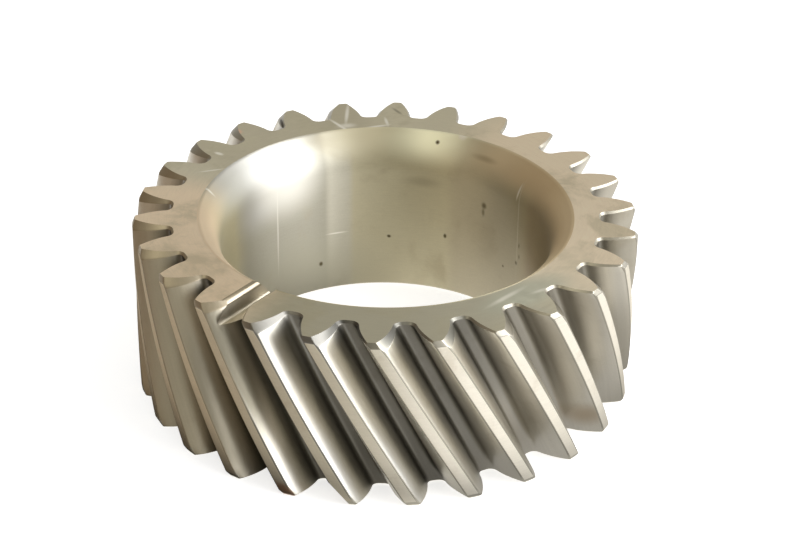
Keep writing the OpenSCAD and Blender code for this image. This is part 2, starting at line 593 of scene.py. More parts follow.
@dataclass(frozen=True)
class Slot:
    """The radial slot across the upper face, along -Y."""

    width: float = 0.005
    depth: float = 0.0048
    left_lip: float = 0.0014
    right_lip: float = 0.0006
    fillet: float = 0.0008
    steps: int = 5
    overrun: float = 0.0004
    slack: float = 0.00001

    def half_outline(self, lip: float, top: float) -> list[tuple[float, float]]:
        """Draw one side of the slot's section, on the side of +X.

        Args:
            lip: Radius of its rounded upper edge.
            top: Height of the upper face.

        Returns:
            Points across the slot and up, from above the face down to the floor.
        """
        half = self.width / 2
        lip_arc = arc((half + lip, top - lip), lip, math.pi / 2, math.pi / 2, self.steps)
        centre = (half - self.fillet, top - self.depth + self.fillet)
        fillet_arc = arc(centre, self.fillet, 0.0, -math.pi / 2, self.steps)
        return [(half + lip + self.overrun, top + self.overrun), *lip_arc, *fillet_arc]

    def cutter(self, top: float, inner: float, outer: float) -> bpy.types.Mesh:
        """Make the solid that the slot removes.

        Args:
            top: Height of the upper face.
            inner: Distance from the axis where it starts.
            outer: Distance from the axis where it ends.

        Returns:
            The closed mesh of the slot's space.
        """
        left = [(-x, z) for x, z in reversed(self.half_outline(self.left_lip, top))]
        outline = self.half_outline(self.right_lip, top) + left
        count = len(outline)
        points = [(x, -y, z) for y in (inner, outer) for x, z in outline]
        faces: list[Face] = [tuple(range(count)), tuple(range(2 * count - 1, count - 1, -1))]
        faces += [(i, i + count, (i + 1) % count + count, (i + 1) % count) for i in range(count)]
        zones = [Zone.SLOT, Zone.SLOT]
        for (x, z), (_, next_z) in zip(outline, outline[1:] + outline[:1]):
            on_left_lip = x < 0 and min(z, next_z) > top - self.left_lip - self.slack
            zones.append(Zone.EDGE if on_left_lip else Zone.SLOT)
        return zoned_mesh("slot_space", points, faces, zones)


@dataclass(frozen=True)
class BrokenCorner:
    """The missing lower corner of the tooth beside the slot."""

    width: float = 0.002
    height: float = 0.0066
    reach: float = 0.0065
    spread: float = 1.8

    def cutter(self, toothing: Toothing, face_width: float) -> bpy.types.Mesh:
        """Make the prism that is missing, outside the plane through three points of the tooth.

        Args:
            toothing: The involute toothing.
            face_width: Height of the wheel.

        Returns:
            The closed mesh of the prism.
        """
        tip = toothing.tip_radius
        side = toothing.half_angle(math.acos(toothing.base_radius / tip))
        foot_radius = tip - self.reach
        foot_angle = side - toothing.half_angle(math.acos(toothing.base_radius / foot_radius))
        foot = Vector((foot_radius * math.cos(foot_angle), foot_radius * math.sin(foot_angle), 0))
        lean = math.tan(toothing.helix_angle) * tip / toothing.pitch_radius
        across = Vector((tip, self.width, 0))
        up = Vector((tip, -self.height * lean, self.height))
        middle = (across + up + foot) / 3
        face = [middle + self.spread * (p - middle) for p in (across, up, foot)]
        outward = (across - foot).cross(up - foot).normalized() * self.reach / 2
        points = face + [p + outward for p in face]
        angle = toothing.first_tooth + face_width * toothing.turn_per_metre - side
        turn = Matrix.Rotation(angle, 3, "Z")
        faces = [(2, 1, 0), (3, 4, 5), (1, 4, 3, 0), (2, 5, 4, 1), (0, 3, 5, 2)]
        return zoned_mesh("broken_corner", [turn @ p for p in points], faces, [Zone.BREAK] * len(faces))


class Signal:
    """A node's output socket that can be used in plain arithmetic."""

    def __init__(self, graph: "Graph", socket: bpy.types.NodeSocket) -> None:
        """Wrap a socket of a graph."""
        self.graph = graph
        self.socket = socket

    def math(self, operation: str, *others: "Signal | float") -> "Signal":
        """Add a Math node that works on this value.

        Args:
            operation: The Math node's operation.
            others: Its further values.

        Returns:
            The result.
        """
        values = dict(enumerate((self, *others)))
        return self.graph.node("ShaderNodeMath", {"operation": operation}, values).out(0)

    def __add__(self, other: "Signal | float") -> "Signal":
        """Add a value."""
        return self.math("ADD", other)

    __radd__ = __add__

    def __mul__(self, other: "Signal | float") -> "Signal":
        """Multiply by a value."""
        return self.math("MULTIPLY", other)

    __rmul__ = __mul__

    def __sub__(self, other: "Signal | float") -> "Signal":
        """Take away a value."""
        return self.math("SUBTRACT", other)

    def __rsub__(self, other: float) -> "Signal":
        """Take this value away from another."""
        return self.math("MULTIPLY", -1.0) + other

    def __truediv__(self, other: "Signal | float") -> "Signal":
        """Divide by a value."""
        return self.math("DIVIDE", other)

    def __pow__(self, other: float) -> "Signal":
        """Raise to a power."""
        return self.math("POWER", other)

    def above(self, low: float, high: float) -> "Signal":
        """Ramp smoothly from 0 at low to 1 at high."""
        settings = {"interpolation_type": "SMOOTHSTEP"}
        sockets = {"Value": self, "From Min": low, "From Max": high}
        return self.graph.node("ShaderNodeMapRange", settings, sockets).out("Result")


@dataclass
class NodeHandle:
    """A node just added, whose outputs come back as signals."""

    graph: "Graph"
    node: bpy.types.Node

    def out(self, name: str | int) -> Signal:
        """Return one of the node's outputs by name or place."""
        return Signal(self.graph, self.node.outputs[name])


Tint = Signal | Colour


class Graph:
    """A node tree that is built by calls."""

    def __init__(self, tree: bpy.types.NodeTree) -> None:
        """Start on an empty tree."""
        self.tree = tree
        tree.nodes.clear()

    def node(self, kind: str, settings: dict[str, Any] | None = None,
             sockets: dict[str | int, Any] | None = None) -> NodeHandle:
        """Add a node.

        Args:
            kind: The node's type.
            settings: Its properties, which are set first.
            sockets: Its inputs by name or place, each a value or a signal.

        Returns:
            The node, ready to give its outputs.
        """
        node = self.tree.nodes.new(kind)
        for name, value in (settings or {}).items():
            setattr(node, name, value)
        for name, value in (sockets or {}).items():
            socket = node.inputs[name]
            if isinstance(value, Signal):
                self.tree.links.new(value.socket, socket)
            else:
                socket.default_value = value
        return NodeHandle(self, node)

    def mix_colour(self, share: Signal, first: Tint, second: Tint) -> Signal:
        """Mix two colours, the first where the share is 0 and the second where it is 1."""
        low, high = (tint if isinstance(tint, Signal) else (*tint, 1.0) for tint in (first, second))
        sockets = {0: share, MIX_FIRST: low, MIX_SECOND: high}
        return self.node("ShaderNodeMix", {"data_type": "RGBA"}, sockets).out(MIX_RESULT)

    def mix_shader(self, share: Signal, first: Signal, second: Signal) -> Signal:
        """Mix two shaders, the first where the share is 0 and the second where it is 1."""
        return self.node("ShaderNodeMixShader", None, {0: share, 1: first, 2: second}).out(0)

    def vector(self, x: Signal | float, y: Signal | float, z: Signal | float) -> Signal:
        """Join three values into a vector."""
        return self.node("ShaderNodeCombineXYZ", None, {0: x, 1: y, 2: z}).out(0)

    def split(self, vector: Signal) -> tuple[Signal, Signal, Signal]:
        """Split a vector into its three values."""
        parts = self.node("ShaderNodeSeparateXYZ", None, {0: vector})
        return parts.out("X"), parts.out("Y"), parts.out("Z")

    def turned(self, vector: Signal, angle: Signal | float, axis: str = "Z_AXIS") -> Signal:
        """Turn a vector round one of the axes."""
        sockets = {"Vector": vector, "Angle": angle}
        return self.node("ShaderNodeVectorRotate", {"rotation_type": axis}, sockets).out(0)

    def vector_math(self, operation: str, sockets: dict[str | int, Any]) -> NodeHandle:
        """Add a Vector Math node."""
        return self.node("ShaderNodeVectorMath", {"operation": operation}, sockets)

    def noise(self, place: Signal, scale: float, detail: float = 2.0, roughness: float = 0.5,
              distortion: float = 0.0) -> Signal:
        """Add smooth noise.

        Args:
            place: Where it is read.
            scale: How many features there are for each unit.
            detail: How many finer layers are added.
            roughness: How strong the finer layers are.
            distortion: How far the pattern is bent.

        Returns:
            The noise, about 0.5 on average.
        """
        sockets = {"Vector": place, "Scale": scale, "Detail": detail, "Roughness": roughness,
                   "Distortion": distortion}
        return self.node("ShaderNodeTexNoise", None, sockets).out("Fac")

    def background_rays(self) -> Signal:
        """Return 1 for the rays that show the background: camera, glossy and transmission rays."""
        paths = self.node("ShaderNodeLightPath")
        seen = paths.out("Is Camera Ray").math("MAXIMUM", paths.out("Is Glossy Ray"))
        return seen.math("MAXIMUM", paths.out("Is Transmission Ray"))


def new_material(name: str) -> tuple[bpy.types.Material, Graph]:
    """Start a material, and return it with its empty graph."""
    material = bpy.data.materials.new(name)
    material.use_nodes = True
    return material, Graph(material.node_tree)


@dataclass(frozen=True)
class Spot:
    """The point that a material is dressing, with its object coordinates as signals."""

    graph: Graph
    place: Signal
    x: Signal
    y: Signal
    z: Signal

    @classmethod
    def of(cls, graph: Graph, heading: float = 0.0) -> "Spot":
        """Read the point.

        Args:
            graph: The material's graph.
            heading: The direction that counts as X.

        Returns:
            The point.
        """
        place = graph.node("ShaderNodeTexCoord").out("Object")
        if heading:
            place = graph.turned(place, -heading)
        return cls(graph, place, *graph.split(place))

    @cached_property
    def radius(self) -> Signal:
        """Distance from the axis."""
        return (self.x * self.x + self.y * self.y) ** 0.5

    def toward(self, bearing: float) -> Signal:
        """Return how far the point lies in a direction, square to the axis."""
        return self.x * math.cos(bearing) + self.y * math.sin(bearing)


class RingTree:
    """The Geometry Nodes that twist, repeat and cut the tooth section, and dress its zones."""

    inputs = {"Teeth": "NodeSocketInt", "Face Width": "NodeSocketFloat",
              "Turn Per Metre": "NodeSocketFloat", "First Tooth": "NodeSocketFloat",
              "Merge Distance": "NodeSocketFloat", "Slot Space": "NodeSocketObject",
              "Broken Corner": "NodeSocketObject", "Crease Angle": "NodeSocketFloat"}

    def __init__(self, steels: dict[Zone, bpy.types.Material]) -> None:
        """Build the tree.

        Args:
            steels: The material of each zone.
        """
        self.tree = bpy.data.node_groups.new("helical_ring", "GeometryNodeTree")
        self.graph = Graph(self.tree)
        interface = self.tree.interface
        interface.new_socket("Geometry", in_out="INPUT", socket_type="NodeSocketGeometry")
        self.sockets = {name: interface.new_socket(name, in_out="INPUT", socket_type=kind)
                        for name, kind in self.inputs.items()}
        interface.new_socket("Geometry", in_out="OUTPUT", socket_type="NodeSocketGeometry")
        self.steels = steels
        group = self.graph.node("NodeGroupInput")
        ring = self.creased(self.cut(self.repeated(self.twisted(group), group), group), group)
        self.graph.node("NodeGroupOutput", None, {0: self.dressed(ring)})

    def twisted(self, group: NodeHandle) -> Signal:
        """Twist the straight tooth section along the helix.

        Args:
            group: The tree's inputs.

        Returns:
            The twisted section.
        """
        position = self.graph.node("GeometryNodeInputPosition").out(0)
        height = self.graph.split(position)[2]
        turn = (group.out("Face Width") - height) * group.out("Turn Per Metre") + group.out("First Tooth")
        sockets = {"Geometry": group.out("Geometry"), "Position": self.graph.turned(position, turn)}
        return self.graph.node("GeometryNodeSetPosition", None, sockets).out(0)

    def repeated(self, tooth: Signal, group: NodeHandle) -> Signal:
        """Repeat the tooth section round the axis.

        Args:
            tooth: The twisted section.
            group: The tree's inputs.

        Returns:
            The ring, with its sections joined.
        """
        graph, count = self.graph, group.out("Teeth")
        places = graph.node("GeometryNodeMeshLine", None, {"Count": count, "Offset": (0, 0, 0)}).out(0)
        angle = graph.node("GeometryNodeInputIndex").out(0) * (2 * math.pi) / count
        spin = graph.node("FunctionNodeEulerToRotation", None, {0: graph.vector(0.0, 0.0, angle)}).out(0)
        teeth = graph.node("GeometryNodeInstanceOnPoints", None,
                           {"Points": places, "Instance": tooth, "Rotation": spin}).out(0)
        ring = graph.node("GeometryNodeRealizeInstances", None, {0: teeth}).out(0)
        return graph.node("GeometryNodeMergeByDistance", None,
                          {"Geometry": ring, "Distance": group.out("Merge Distance")}).out(0)

    def cut(self, ring: Signal, group: NodeHandle) -> Signal:
        """Cut the slot and the broken corner.

        Args:
            ring: The whole ring.
            group: The tree's inputs.

        Returns:
            The cut ring.
        """
        difference = {"operation": "DIFFERENCE", "solver": "EXACT"}
        for name in ("Slot Space", "Broken Corner"):
            space = self.graph.node("GeometryNodeObjectInfo", {"transform_space": "RELATIVE"},
                                    {"Object": group.out(name)}).out("Geometry")
            ring = self.graph.node("GeometryNodeMeshBoolean", difference,
                                   {"Mesh 1": ring, "Mesh 2": space}).out("Mesh")
        return self.graph.node("GeometryNodeRealizeInstances", None, {0: ring}).out(0)

    def creased(self, ring: Signal, group: NodeHandle) -> Signal:
        """Shade the ring smooth, apart from its sharp edges.

        Args:
            ring: The cut ring.
            group: The tree's inputs.

        Returns:
            The ring with its creases.
        """
        graph = self.graph
        ring = graph.node("GeometryNodeSetShadeSmooth", {"domain": "FACE"},
                          {"Geometry": ring, "Shade Smooth": True}).out(0)
        crease = graph.node("GeometryNodeInputMeshEdgeAngle").out("Unsigned Angle")
        sharp = graph.node("FunctionNodeCompare", {"data_type": "FLOAT", "operation": "GREATER_THAN"},
                           {0: crease, 1: group.out("Crease Angle")}).out(0)
        return graph.node("GeometryNodeSetShadeSmooth", {"domain": "EDGE"},
                          {"Geometry": ring, "Selection": sharp, "Shade Smooth": False}).out(0)

    def dressed(self, ring: Signal) -> Signal:
        """Give each zone its steel.

        Args:
            ring: The creased ring.

        Returns:
            The finished ring.
        """
        graph = self.graph
        zone = graph.node("GeometryNodeInputNamedAttribute", {"data_type": "INT"},
                          {"Name": ZONE_ATTRIBUTE}).out(0)
        for key, steel in self.steels.items():
            here = graph.node("FunctionNodeCompare", {"data_type": "INT", "operation": "EQUAL"},
                              {WHOLE_FIRST: zone, WHOLE_SECOND: key.value}).out(0)
            ring = graph.node("GeometryNodeSetMaterial", None,
                              {"Geometry": ring, "Selection": here, "Material": steel}).out(0)
        return ring

    def run(self, name: str, mesh: bpy.types.Mesh, values: dict[str, Any]) -> bpy.types.Object:
        """Run the tree on a mesh and keep the result as a plain mesh.

        Args:
            name: The new piece's name.
            mesh: The tooth section.
            values: The tree's inputs by name.

        Returns:
            The finished piece, with no modifier left.
        """
        carrier = scene_object(name + "_carrier", mesh)
        modifier = carrier.modifiers.new("helical_ring", "NODES")
        modifier.node_group = self.tree
        for key, value in values.items():
            modifier[self.sockets[key].identifier] = value
        graph = bpy.context.evaluated_depsgraph_get()
        result = bpy.data.meshes.new_from_object(carrier.evaluated_get(graph))
        result.name = name
        bpy.data.objects.remove(carrier)
        return scene_object(name, result)


class GrooveRun(Enum):
    """The way that fine tool marks run on a surface."""

    ROUND_THE_FACE = "rings of constant radius"
    ROUND_THE_AXIS = "lines of constant height"
    ALONG_THE_TEETH = "lines that follow the helix"


@dataclass(frozen=True)
class Sector:
    """A sector of the wheel where something about the steel differs.

    Attributes:
        bearing: Its middle, in degrees counterclockwise from +X.
        full: Half the sector with the full effect, in degrees.
        fade: Half the sector at which the effect has faded out.
    """

    bearing: float
    full: float
    fade: float

    def mask(self, spot: Spot) -> Signal:
        """Return how strong the effect is at a point, from 0 to 1."""
        toward = spot.toward(math.radians(self.bearing)) / spot.radius
        return toward.above(math.cos(math.radians(self.fade)), math.cos(math.radians(self.full)))


@dataclass(frozen=True)
class PaintedLightSector(Sector):
    """A sector of painted light and shade, where the steel takes another tone that stands in for reflected
    light.

    Attributes:
        tint: Its colour.
    """

    tint: Colour


@dataclass(frozen=True)
class Mark:
    """A pit, scratch or stain on the steel, or a patch of painted light or shade.

    Attributes:
        bearing: Direction of its middle, in degrees counterclockwise from +X.
        radius: Distance of its middle from the axis.
        height: Height of its middle above the lower face.
        size: Half its extent outwards, across and upwards.
        tint: Its colour.
        soft: How soft its rim is, from 0 to 1.
        strength: How strongly it covers the steel.
        tilt: Turn within the surface, in degrees.
        flat: Whether it lies on a flat face and not on a round one.
    """

    bearing: float
    radius: float
    height: float
    size: Point
    tint: Colour
    soft: float = 0.3
    strength: float = 1.0
    tilt: float = 0.0
    flat: bool = False

    def mask(self, spot: Spot) -> Signal:
        """Work out how strong the mark is at a point.

        Args:
            spot: The point.

        Returns:
            The mark's strength there, from 0 to 1.
        """
        graph = spot.graph
        turned = graph.turned(spot.place, -math.radians(self.bearing))
        offset = graph.vector_math("SUBTRACT", {0: turned, 1: (self.radius, 0, self.height)}).out(0)
        offset = graph.turned(offset, -math.radians(self.tilt), "Z_AXIS" if self.flat else "X_AXIS")
        scaled = graph.vector_math("DIVIDE", {0: offset, 1: self.size}).out(0)
        distance = graph.vector_math("LENGTH", {0: scaled}).out("Value")
        return (1.0 - distance.above(1 - self.soft, 1 + self.soft)) * self.strength


@dataclass(frozen=True)
class OilAndRootShade:
    """The dark tooth spaces: partly oil residue and partly painted shade in the roots, darkest in one
    sector.

    Attributes:
        shade: How dark it leaves the metal, 1 for none.
        reach: How far it comes up from the root circle.
        wander: How far its edge wanders.
        sector: The sector where it is darkest.
        low: How thick it is elsewhere near the lower face, from 0 to 1.
        rise: How much it gains between the two heights of climb.
    """

    shade: float
    reach: float = 0.0060
    wander: float = 0.002
    sector: Sector = Sector(278.0, 42.0, 66.0)
    low: float = 0.15
    rise: float = 0.60
    climb: tuple[float, float] = (0.004, 0.030)

    def light(self, spot: Spot, cloud: Signal, root_radius: float) -> Signal:
        """Work out how much of the metal's light the film lets through.

        Args:
            spot: The point.
            cloud: Noise that lets the film's edge wander.
            root_radius: Radius at the bottom of the tooth spaces.

        Returns:
            The share that is left, 1 where there is neither oil nor painted shade.
        """
        depth = spot.radius + (cloud - 0.5) * self.wander
        oil_and_shade = 1.0 - depth.above(root_radius, root_radius + self.reach)
        elsewhere = spot.z.above(*self.climb) * self.rise + self.low
        thickness = elsewhere + self.sector.mask(spot) * (1.0 - elsewhere)
        return 1.0 - oil_and_shade * thickness * (1.0 - self.shade)


@dataclass(frozen=True)
class Wear:
    """Patterns of wear that every finish shares.

    Each scale counts features for each metre, around counts them for one radius of a turned mark's
    length, and each edge gives the noise between which a stain sets in.
    """

    around: float = 12.0
    along: float = 60.0
    cloud: float = 70.0
    blotch: float = 260.0
    grain: float = 2600.0
    cloud_edge: tuple[float, float] = (0.62, 0.78)
    cloud_growth: tuple[float, float] = (0.3, 0.2)
    blotch_edge: tuple[float, float] = (0.6, 0.8)
    blotch_cover: float = 0.35
    groove_tone: float = 0.16
    grain_tone: float = 0.10
    stain_roughness: float = 0.12
    cloud_roughness: float = 0.1
    grain_depth: float = 0.25
    cloud_depth: float = 0.4
    relief: float = 0.25
    relief_height: float = 0.00006
    stretch_turn: float = 0.25

    def stain(self, cloud: Signal, blotch: Signal, level: float) -> Signal:
        """Work out how far the steel is stained.

        Args:
            cloud: Noise of the broad stains.
            blotch: Noise of the small stains.
            level: How much of the surface is stained, from 0 to 1.

        Returns:
            The stains' cover, from 0 to 1.
        """
        edge = [start - growth * level for start, growth in zip(self.cloud_edge, self.cloud_growth)]
        small = blotch.above(*self.blotch_edge) * self.blotch_cover
        return ((cloud.above(*edge) + small) * level).math("MINIMUM", 1.0)


@dataclass(frozen=True)
class SteelFinish:
    """One finish of the wheel's steel.

    Attributes:
        run: The way its tool marks run.
        tint: The colour of the clean metal.
        stain: The colour of stained metal.
        spread: How much the tool marks change the roughness.
        groove_scale: Tool marks for each metre across them.
        groove_depth: Strength of the tool marks' relief.
        stain_level: How much of the surface is stained, from 0 to 1.
        anisotropy: How much its reflections stretch across the tool marks.
    """

    name: str
    run: GrooveRun
    tint: Colour
    stain: Colour
    roughness: float
    spread: float
    groove_scale: float
    groove_depth: float
    stain_level: float
    anisotropy: float = 0.0
    oil_and_shade: OilAndRootShade | None = None
    painted_light_sectors: tuple[PaintedLightSector, ...] = ()
    marks: tuple[Mark, ...] = ()
    wear: Wear = Wear()

    def groove_place(self, spot: Spot, turn_per_metre: float) -> Signal:
        """Work out where a point lies across the tool marks.

        Args:
            spot: The point.
            turn_per_metre: How far the teeth turn for each metre along the axis.

        Returns:
            A vector that changes fast across the marks and slowly along them.
        """
        if self.run is GrooveRun.ALONG_THE_TEETH:
            x, y, _ = spot.graph.split(spot.graph.turned(spot.place, spot.z * turn_per_metre))
            return spot.graph.vector(x * self.groove_scale, y * self.groove_scale, spot.z * self.wear.along)
        across = spot.radius if self.run is GrooveRun.ROUND_THE_FACE else spot.z
        around = [way / spot.radius * self.wear.around for way in (spot.x, spot.y)]
        return spot.graph.vector(across * self.groove_scale, *around)

    def material(self, toothing: Toothing) -> bpy.types.Material:
        """Build the material.

        Args:
            toothing: The toothing, whose helix some marks follow.

        Returns:
            The procedural steel.
        """
        material, graph = new_material(self.name)
        spot, wear = Spot.of(graph), self.wear
        grooves = graph.noise(self.groove_place(spot, toothing.turn_per_metre), 1.0, 3.0, 0.6)
        cloud = graph.noise(spot.place, wear.cloud, 4.0, 0.62, 0.4)
        blotch = graph.noise(spot.place, wear.blotch, 3.0, 0.6)
        grain = graph.noise(spot.place, wear.grain)
        stain = wear.stain(cloud, blotch, self.stain_level)
        colour: Tint = self.tint
        # Tones by direction: painted light and shade.
        for stretch in self.painted_light_sectors:
            colour = graph.mix_colour(stretch.mask(spot), colour, stretch.tint)
        colour = graph.mix_colour(stain, colour, self.stain)
        shade = (grooves - 0.5) * wear.groove_tone + (grain - 0.5) * wear.grain_tone + 1.0
        # Oil and painted shade darken the tooth spaces.
        if self.oil_and_shade:
            shade = shade * self.oil_and_shade.light(spot, cloud, toothing.root_radius)
        colour = graph.vector_math("SCALE", {0: colour, "Scale": shade}).out(0)
        for mark in self.marks:
            colour = graph.mix_colour(mark.mask(spot), colour, mark.tint)
        roughness = (grooves - 0.5) * self.spread + stain * wear.stain_roughness
        roughness = roughness + (cloud - 0.5) * wear.cloud_roughness + self.roughness
        height = grooves * self.groove_depth + grain * wear.grain_depth + cloud * wear.cloud_depth
        bump = graph.node("ShaderNodeBump", None, {"Strength": wear.relief, "Distance": wear.relief_height,
                                                   "Height": height})
        shader = graph.node("ShaderNodeBsdfPrincipled", None,
                            {"Base Color": colour, "Metallic": 1.0, "Roughness": roughness,
                             "Anisotropic": self.anisotropy, "Anisotropic Rotation": wear.stretch_turn,
                             "Normal": bump.out(0)})
        graph.node("ShaderNodeOutputMaterial", None, {"Surface": shader.out(0)})
        return material


@dataclass
class GearWheel:
    """The gear wheel, one piece of steel."""

    toothing: Toothing = field(default_factory=Toothing)
    blank: Blank = field(default_factory=Blank)
    ends: ToothEnds = field(default_factory=ToothEnds)
    steps: SectionSteps = field(default_factory=SectionSteps)
    slot: Slot = field(default_factory=Slot)
    broken_corner: BrokenCorner = field(default_factory=BrokenCorner)
    crease_angle: float = math.radians(40)
    merge_distance: float = 0.000002
    slot_start: float = 0.7
    slot_end: float = 1.02
    mark_depth: float = 0.002
    zone_depth: float = 0.030
    lead_in_middle: float = 0.045

    def face_mark(self, bearing: float, radius: float, out: float, across: float, tint: Colour,
                  tilt: float = 0.0, soft: float = 0.8, strength: float = 1.0) -> Mark:
        """Put a mark on the upper face, with half its extent outwards and across."""
        size = (out, across, self.mark_depth)
        return Mark(bearing, radius, self.blank.face_width, size, tint, soft, strength, tilt, True)

    def bore_mark(self, bearing: float, height: float, across: float, up: float, tint: Colour,
                  soft: float = 0.8, strength: float = 1.0, tilt: float = 0.0) -> Mark:
        """Put a small mark on the bore's wall, with half its extent across and up."""
        size = (self.mark_depth, across, up)
        return Mark(bearing, self.blank.bore_radius, height, size, tint, soft, strength, tilt)

    def painted_bore_light(self, bearing: float, radius: float, height: float, across: float, up: float,
                  tint: Colour, soft: float, strength: float = 1.0) -> Mark:
        """Paint a broad patch of light or shade, a painted reflection tone, on the bore or its lead-in."""
        return Mark(bearing, radius, height, (self.zone_depth, across, up), tint, soft, strength)

    def turned_face(self) -> SteelFinish:
        """Describe the turned faces, with stains, thin bright and dark lines and spots, and painted
        reflection tones.

        Returns:
            The finish.
        """
        mark = self.face_mark
        return SteelFinish(
            "turned_face", GrooveRun.ROUND_THE_FACE, tint=(0.72, 0.68, 0.56), stain=(0.50, 0.47, 0.36),
            roughness=0.36, spread=0.12, groove_scale=2200.0, groove_depth=0.8, stain_level=0.5,
            anisotropy=0.6,
            # Tones by direction are painted reflection: grey-olive in front and at the back left, tan on
            # the left and the right.
            painted_light_sectors=(PaintedLightSector(310.0, 28.0, 50.0, (0.555, 0.535, 0.45)),
                       PaintedLightSector(160.0, 18.0, 36.0, (0.60, 0.56, 0.45)),
                       PaintedLightSector(238.0, 28.0, 44.0, (0.99, 0.83, 0.66)),
                       PaintedLightSector(48.0, 36.0, 62.0, (1.0, 0.87, 0.71))),
            # The grey-olive patch at 346 degrees is painted reflection tone as well.
            marks=(mark(346.0, 0.0515, 0.0045, 0.0120, (0.56, 0.58, 0.50), soft=0.5, strength=0.7),
                   mark(341.0, 0.0500, 0.0006, 0.0050, BRIGHT, 12.0, strength=0.6),
                   mark(352.0, 0.0530, 0.0005, 0.0035, BRIGHT, -15.0, strength=0.5),
                   mark(138.0, 0.0555, 0.0050, 0.00045, BRIGHT, -13.0, 0.7),
                   mark(141.7, 0.0491, 0.0042, 0.00045, BRIGHT, 22.0, 0.7),
                   mark(139.5, 0.0485, 0.0012, 0.0020, BRIGHT, strength=0.8),
                   mark(126.9, 0.0500, 0.0022, 0.0004, BRIGHT, 10.0, 0.7),
                   mark(130.0, 0.0472, 0.0005, 0.0030, BRIGHT, 15.0, 0.7),
                   mark(124.0, 0.0565, 0.0020, 0.0004, DARK, 35.0, strength=0.45),
                   mark(156.3, 0.0571, 0.0036, 0.0003, DARK, -19.0, 0.4),
                   mark(169.4, 0.0588, 0.0016, 0.0012, (0.80, 0.55, 0.42), soft=0.5),
                   mark(192.0, 0.0494, 0.0029, 0.0003, BRIGHT, 42.0, 0.6, 0.8),
                   mark(182.0, 0.0530, 0.0012, 0.0006, BRIGHT, soft=0.6, strength=0.8)))

    def ground_bore(self) -> SteelFinish:
        """Describe the bore and its lead-in, with painted light and shade by direction and in broad
        patches, and with pits, stains and thin bright lines.

        Returns:
            The finish.
        """
        wall, cone = self.blank.bore_radius, self.lead_in_middle
        zone, mark = self.painted_bore_light, self.bore_mark
        return SteelFinish(
            "ground_bore", GrooveRun.ROUND_THE_AXIS, tint=(0.61, 0.57, 0.43), stain=(0.44, 0.38, 0.27),
            roughness=0.46, spread=0.08, groove_scale=3200.0, groove_depth=0.4, stain_level=0.3,
            anisotropy=0.9,
            # Tones by direction are painted reflection and shade, with a painted bright streak at 144.5
            # degrees.
            painted_light_sectors=(PaintedLightSector(84.0, 14.0, 21.0, (0.54, 0.495, 0.385)),
                       PaintedLightSector(40.0, 20.0, 30.0, (0.50, 0.43, 0.33)),
                       PaintedLightSector(169.0, 17.0, 29.0, (0.405, 0.39, 0.33)),
                       PaintedLightSector(144.5, 2.5, 6.0, (0.60, 0.58, 0.50))),
            # The broad patches are painted light and shade: the white patch, the grey shade on the left and
            # the lead-in's tones.
            marks=(zone(160.0, wall, 0.0030, 0.0180, 0.0120, (0.48, 0.465, 0.375), 0.7, 0.8),
                   zone(183.0, wall, 0.0330, 0.0070, 0.0060, (0.56, 0.56, 0.56), 0.8, 0.7),
                   zone(167.0, 0.043, 0.0388, 0.0090, 0.0100, (0.82, 0.81, 0.76), 0.7, 0.95),
                   zone(190.0, cone, 0.0425, 0.0130, 0.0060, (0.57, 0.57, 0.55), 0.6),
                   zone(236.0, cone, 0.0435, 0.0220, 0.0055, (0.98, 0.82, 0.64), 0.5),
                   zone(136.0, cone, 0.0440, 0.0085, 0.0050, (0.92, 0.87, 0.70), 0.7),
                   zone(111.0, cone, 0.0435, 0.0105, 0.0050, (1.0, 1.0, 0.84), 0.6),
                   zone(76.0, cone, 0.0440, 0.0130, 0.0055, (0.84, 0.75, 0.58), 0.6),
                   zone(38.0, cone, 0.0445, 0.0300, 0.0050, (0.76, 0.61, 0.41), 0.6),
                   Mark(109.0, 0.0438, 0.0430, (0.0020, 0.0005, 0.0004), PIT, 0.6),
                   Mark(90.2, 0.0420, 0.0420, (0.0030, 0.0030, 0.0006), (0.34, 0.28, 0.18), 0.8, 0.5),
                   Mark(101.0, 0.0466, 0.0445, (0.0010, 0.0012, 0.0010), BRIGHT, 0.5),
                   Mark(203.5, 0.0460, 0.0446, (0.0020, 0.0004, 0.0020), BRIGHT, 0.5),
                   mark(152.0, 0.0083, 0.0005, 0.0006, PIT, 0.6),
                   mark(125.6, 0.0150, 0.0005, 0.0004, PIT, 0.6, tilt=20.0),
                   mark(103.9, 0.0170, 0.0004, 0.0006, PIT, 0.6),
                   mark(87.6, 0.0296, 0.0007, 0.0008, PIT, 0.7, 0.8),
                   mark(87.9, 0.0276, 0.0004, 0.0010, PIT, strength=0.6),
                   mark(113.3, 0.0323, 0.0040, 0.0012, (0.34, 0.30, 0.21), strength=0.4),
                   mark(68.4, 0.0233, 0.0002, 0.0006, PIT, strength=0.8),
                   mark(68.1, 0.0201, 0.0002, 0.0006, PIT, strength=0.8),
                   mark(69.8, 0.0177, 0.0004, 0.0005, PIT, strength=0.8),
                   mark(77.2, 0.0143, 0.0003, 0.0003, PIT, strength=0.8),
                   mark(69.6, 0.0320, 0.00018, 0.0130, BRIGHT, strength=0.35),
                   mark(70.8, 0.0385, 0.0003, 0.0022, BRIGHT, 0.6, tilt=8.0),
                   mark(170.9, 0.0225, 0.0002, 0.0093, BRIGHT, strength=0.4),
                   mark(145.5, 0.0170, 0.0023, 0.0002, BRIGHT, strength=0.7)))

